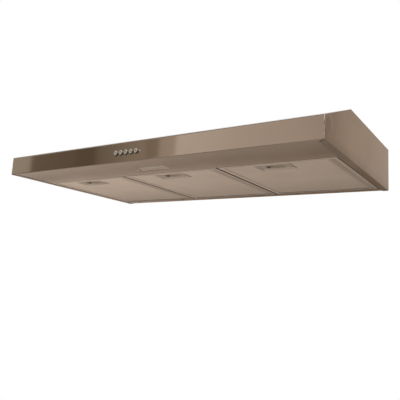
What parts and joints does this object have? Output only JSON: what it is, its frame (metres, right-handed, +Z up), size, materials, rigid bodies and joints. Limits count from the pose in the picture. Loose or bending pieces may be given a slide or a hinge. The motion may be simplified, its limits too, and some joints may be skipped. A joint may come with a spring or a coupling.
{
  "type": "range hood",
  "caption": "Slim stainless range hood for fixing under a wall cabinet, with drop-down grease filters, push buttons, a lamp, twin fans and a duct collar on top.",
  "frame": {"origin": "middle of the four cabinet screws, on the upper face of the top shell", "axes": "+X to the right along the width seen from the front, -Y towards the user, +Y towards the wall, +Z up"},
  "size_m": [0.9, 0.5045, 0.146],
  "materials": {
    "body_steel": "brushed stainless sheet with a warm champagne tone",
    "inner_steel": "galvanised sheet",
    "rivet_steel": "bright zinc plate",
    "lamp_cover": "frosted translucent cover set into the front strip",
    "lead_cover": "sheathed lead",
    "reflector": "bright folded reflector",
    "black_plastic": "moulded",
    "lamp_glass": "opal tubular bulb",
    "chrome": "polished",
    "indicator": "clear pale lens",
    "pale_plastic": "moulded",
    "capacitor": "drawn can",
    "aluminium": "rolled sheet",
    "scroll_plastic": "moulded flame retardant housing",
    "wheel_plastic": "moulded wheel",
    "motor_steel": "painted can",
    "filter_frame": "folded channel",
    "filter_mesh": "fine expanded mesh",
    "handle": "satin lacquered handle recess",
    "latch": "satin lacquered latch"
  },
  "bodies": {
    "hood": {"top_shell": "body_steel", "front_panel": "body_steel", "rear_panel": "body_steel", "side_panel_left": "body_steel", "side_panel_right": "body_steel", "filter_rail_left": "inner_steel", "filter_rail_right": "inner_steel", "shell_rivets": "rivet_steel", "lamp_cover": "lamp_cover", "lamp_tray": "reflector", "lamp_socket": "black_plastic", "lamp_bulb": "lamp_glass", "switch_body": "black_plastic", "button_bezels": "chrome", "indicator_lens": "indicator", "terminal_box": "pale_plastic", "terminal_box_cover": "pale_plastic", "terminal_block": "pale_plastic", "motor_capacitors": "capacitor", "cable_grommet": "black_plastic", "outlet_box": "inner_steel", "duct_collar": "black_plastic", "collar_screws": "rivet_steel", "lead_switch": "lead_cover", "lead_lamp": "lead_cover", "lead_fan_left": "lead_cover", "lead_fan_right": "lead_cover", "scroll_left": "scroll_plastic", "inlet_plate_left": "scroll_plastic", "inlet_guard_left": "black_plastic", "motor_left": "motor_steel", "scroll_right": "scroll_plastic", "inlet_plate_right": "scroll_plastic", "inlet_guard_right": "black_plastic", "motor_right": "motor_steel"},
    "button_light": {"button_light": "chrome"},
    "button_off": {"button_off": "chrome"},
    "button_speed_1": {"button_speed_1": "chrome"},
    "button_speed_2": {"button_speed_2": "chrome"},
    "button_speed_3": {"button_speed_3": "chrome"},
    "fan_left": {"motor_shaft_left": "rivet_steel", "fan_wheel_left": "wheel_plastic"},
    "fan_right": {"motor_shaft_right": "rivet_steel", "fan_wheel_right": "wheel_plastic"},
    "flap_left": {"damper_flap_left": "aluminium"},
    "flap_right": {"damper_flap_right": "aluminium"},
    "filter_left": {"filter_frame_left": "filter_frame", "filter_mesh_left": "filter_mesh", "filter_handle_left": "handle"},
    "latch_left": {"filter_latch_left": "latch"},
    "filter_middle": {"filter_frame_middle": "filter_frame", "filter_mesh_middle": "filter_mesh", "filter_handle_middle": "handle"},
    "latch_middle": {"filter_latch_middle": "latch"},
    "filter_right": {"filter_frame_right": "filter_frame", "filter_mesh_right": "filter_mesh", "filter_handle_right": "handle"},
    "latch_right": {"filter_latch_right": "latch"}
  },
  "joints": [
    {"name": "button_light_press", "type": "slide", "parent": "hood", "child": "button_light", "axis": [0, 1, 0], "range_m": [0, 0.0035], "stiffness_N_per_m": 400, "springref_m": -0.003},
    {"name": "button_off_press", "type": "slide", "parent": "hood", "child": "button_off", "axis": [0, 1, 0], "range_m": [0, 0.0035], "stiffness_N_per_m": 400, "springref_m": -0.003},
    {"name": "button_speed_1_press", "type": "slide", "parent": "hood", "child": "button_speed_1", "axis": [0, 1, 0], "range_m": [0, 0.0035], "stiffness_N_per_m": 400, "springref_m": -0.003},
    {"name": "button_speed_2_press", "type": "slide", "parent": "hood", "child": "button_speed_2", "axis": [0, 1, 0], "range_m": [0, 0.0035], "stiffness_N_per_m": 400, "springref_m": -0.003},
    {"name": "button_speed_3_press", "type": "slide", "parent": "hood", "child": "button_speed_3", "axis": [0, 1, 0], "range_m": [0, 0.0035], "stiffness_N_per_m": 400, "springref_m": -0.003},
    {"name": "fan_left_spin", "type": "hinge", "parent": "hood", "child": "fan_left", "pos_m": [-0.215, 0, -0.031], "axis": [0, 0, -1], "continuous": true},
    {"name": "fan_right_spin", "type": "hinge", "parent": "hood", "child": "fan_right", "pos_m": [0.215, 0, -0.031], "axis": [0, 0, 1], "continuous": true},
    {"name": "flap_left_lift", "type": "hinge", "parent": "hood", "child": "flap_left", "pos_m": [-0.0055, 0.005, 0.0051], "axis": [0, 1, 0], "range_deg": [0, 80]},
    {"name": "flap_right_lift", "type": "hinge", "parent": "hood", "child": "flap_right", "pos_m": [0.0055, 0.005, 0.0051], "axis": [0, -1, 0], "range_deg": [0, 80]},
    {"name": "filter_left_drop", "type": "hinge", "parent": "hood", "child": "filter_left", "pos_m": [-0.29033, 0.155, -0.1075], "axis": [1, 0, 0], "range_deg": [0, 75]},
    {"name": "latch_left_pull", "type": "slide", "parent": "filter_left", "child": "latch_left", "axis": [0, 1, 0], "range_m": [0, 0.006], "stiffness_N_per_m": 300, "springref_m": -0.004},
    {"name": "filter_middle_drop", "type": "hinge", "parent": "hood", "child": "filter_middle", "pos_m": [0, 0.155, -0.1075], "axis": [1, 0, 0], "range_deg": [0, 75]},
    {"name": "latch_middle_pull", "type": "slide", "parent": "filter_middle", "child": "latch_middle", "axis": [0, 1, 0], "range_m": [0, 0.006], "stiffness_N_per_m": 300, "springref_m": -0.004},
    {"name": "filter_right_drop", "type": "hinge", "parent": "hood", "child": "filter_right", "pos_m": [0.29033, 0.155, -0.1075], "axis": [1, 0, 0], "range_deg": [0, 75]},
    {"name": "latch_right_pull", "type": "slide", "parent": "filter_right", "child": "latch_right", "axis": [0, 1, 0], "range_m": [0, 0.006], "stiffness_N_per_m": 300, "springref_m": -0.004}
  ]
}
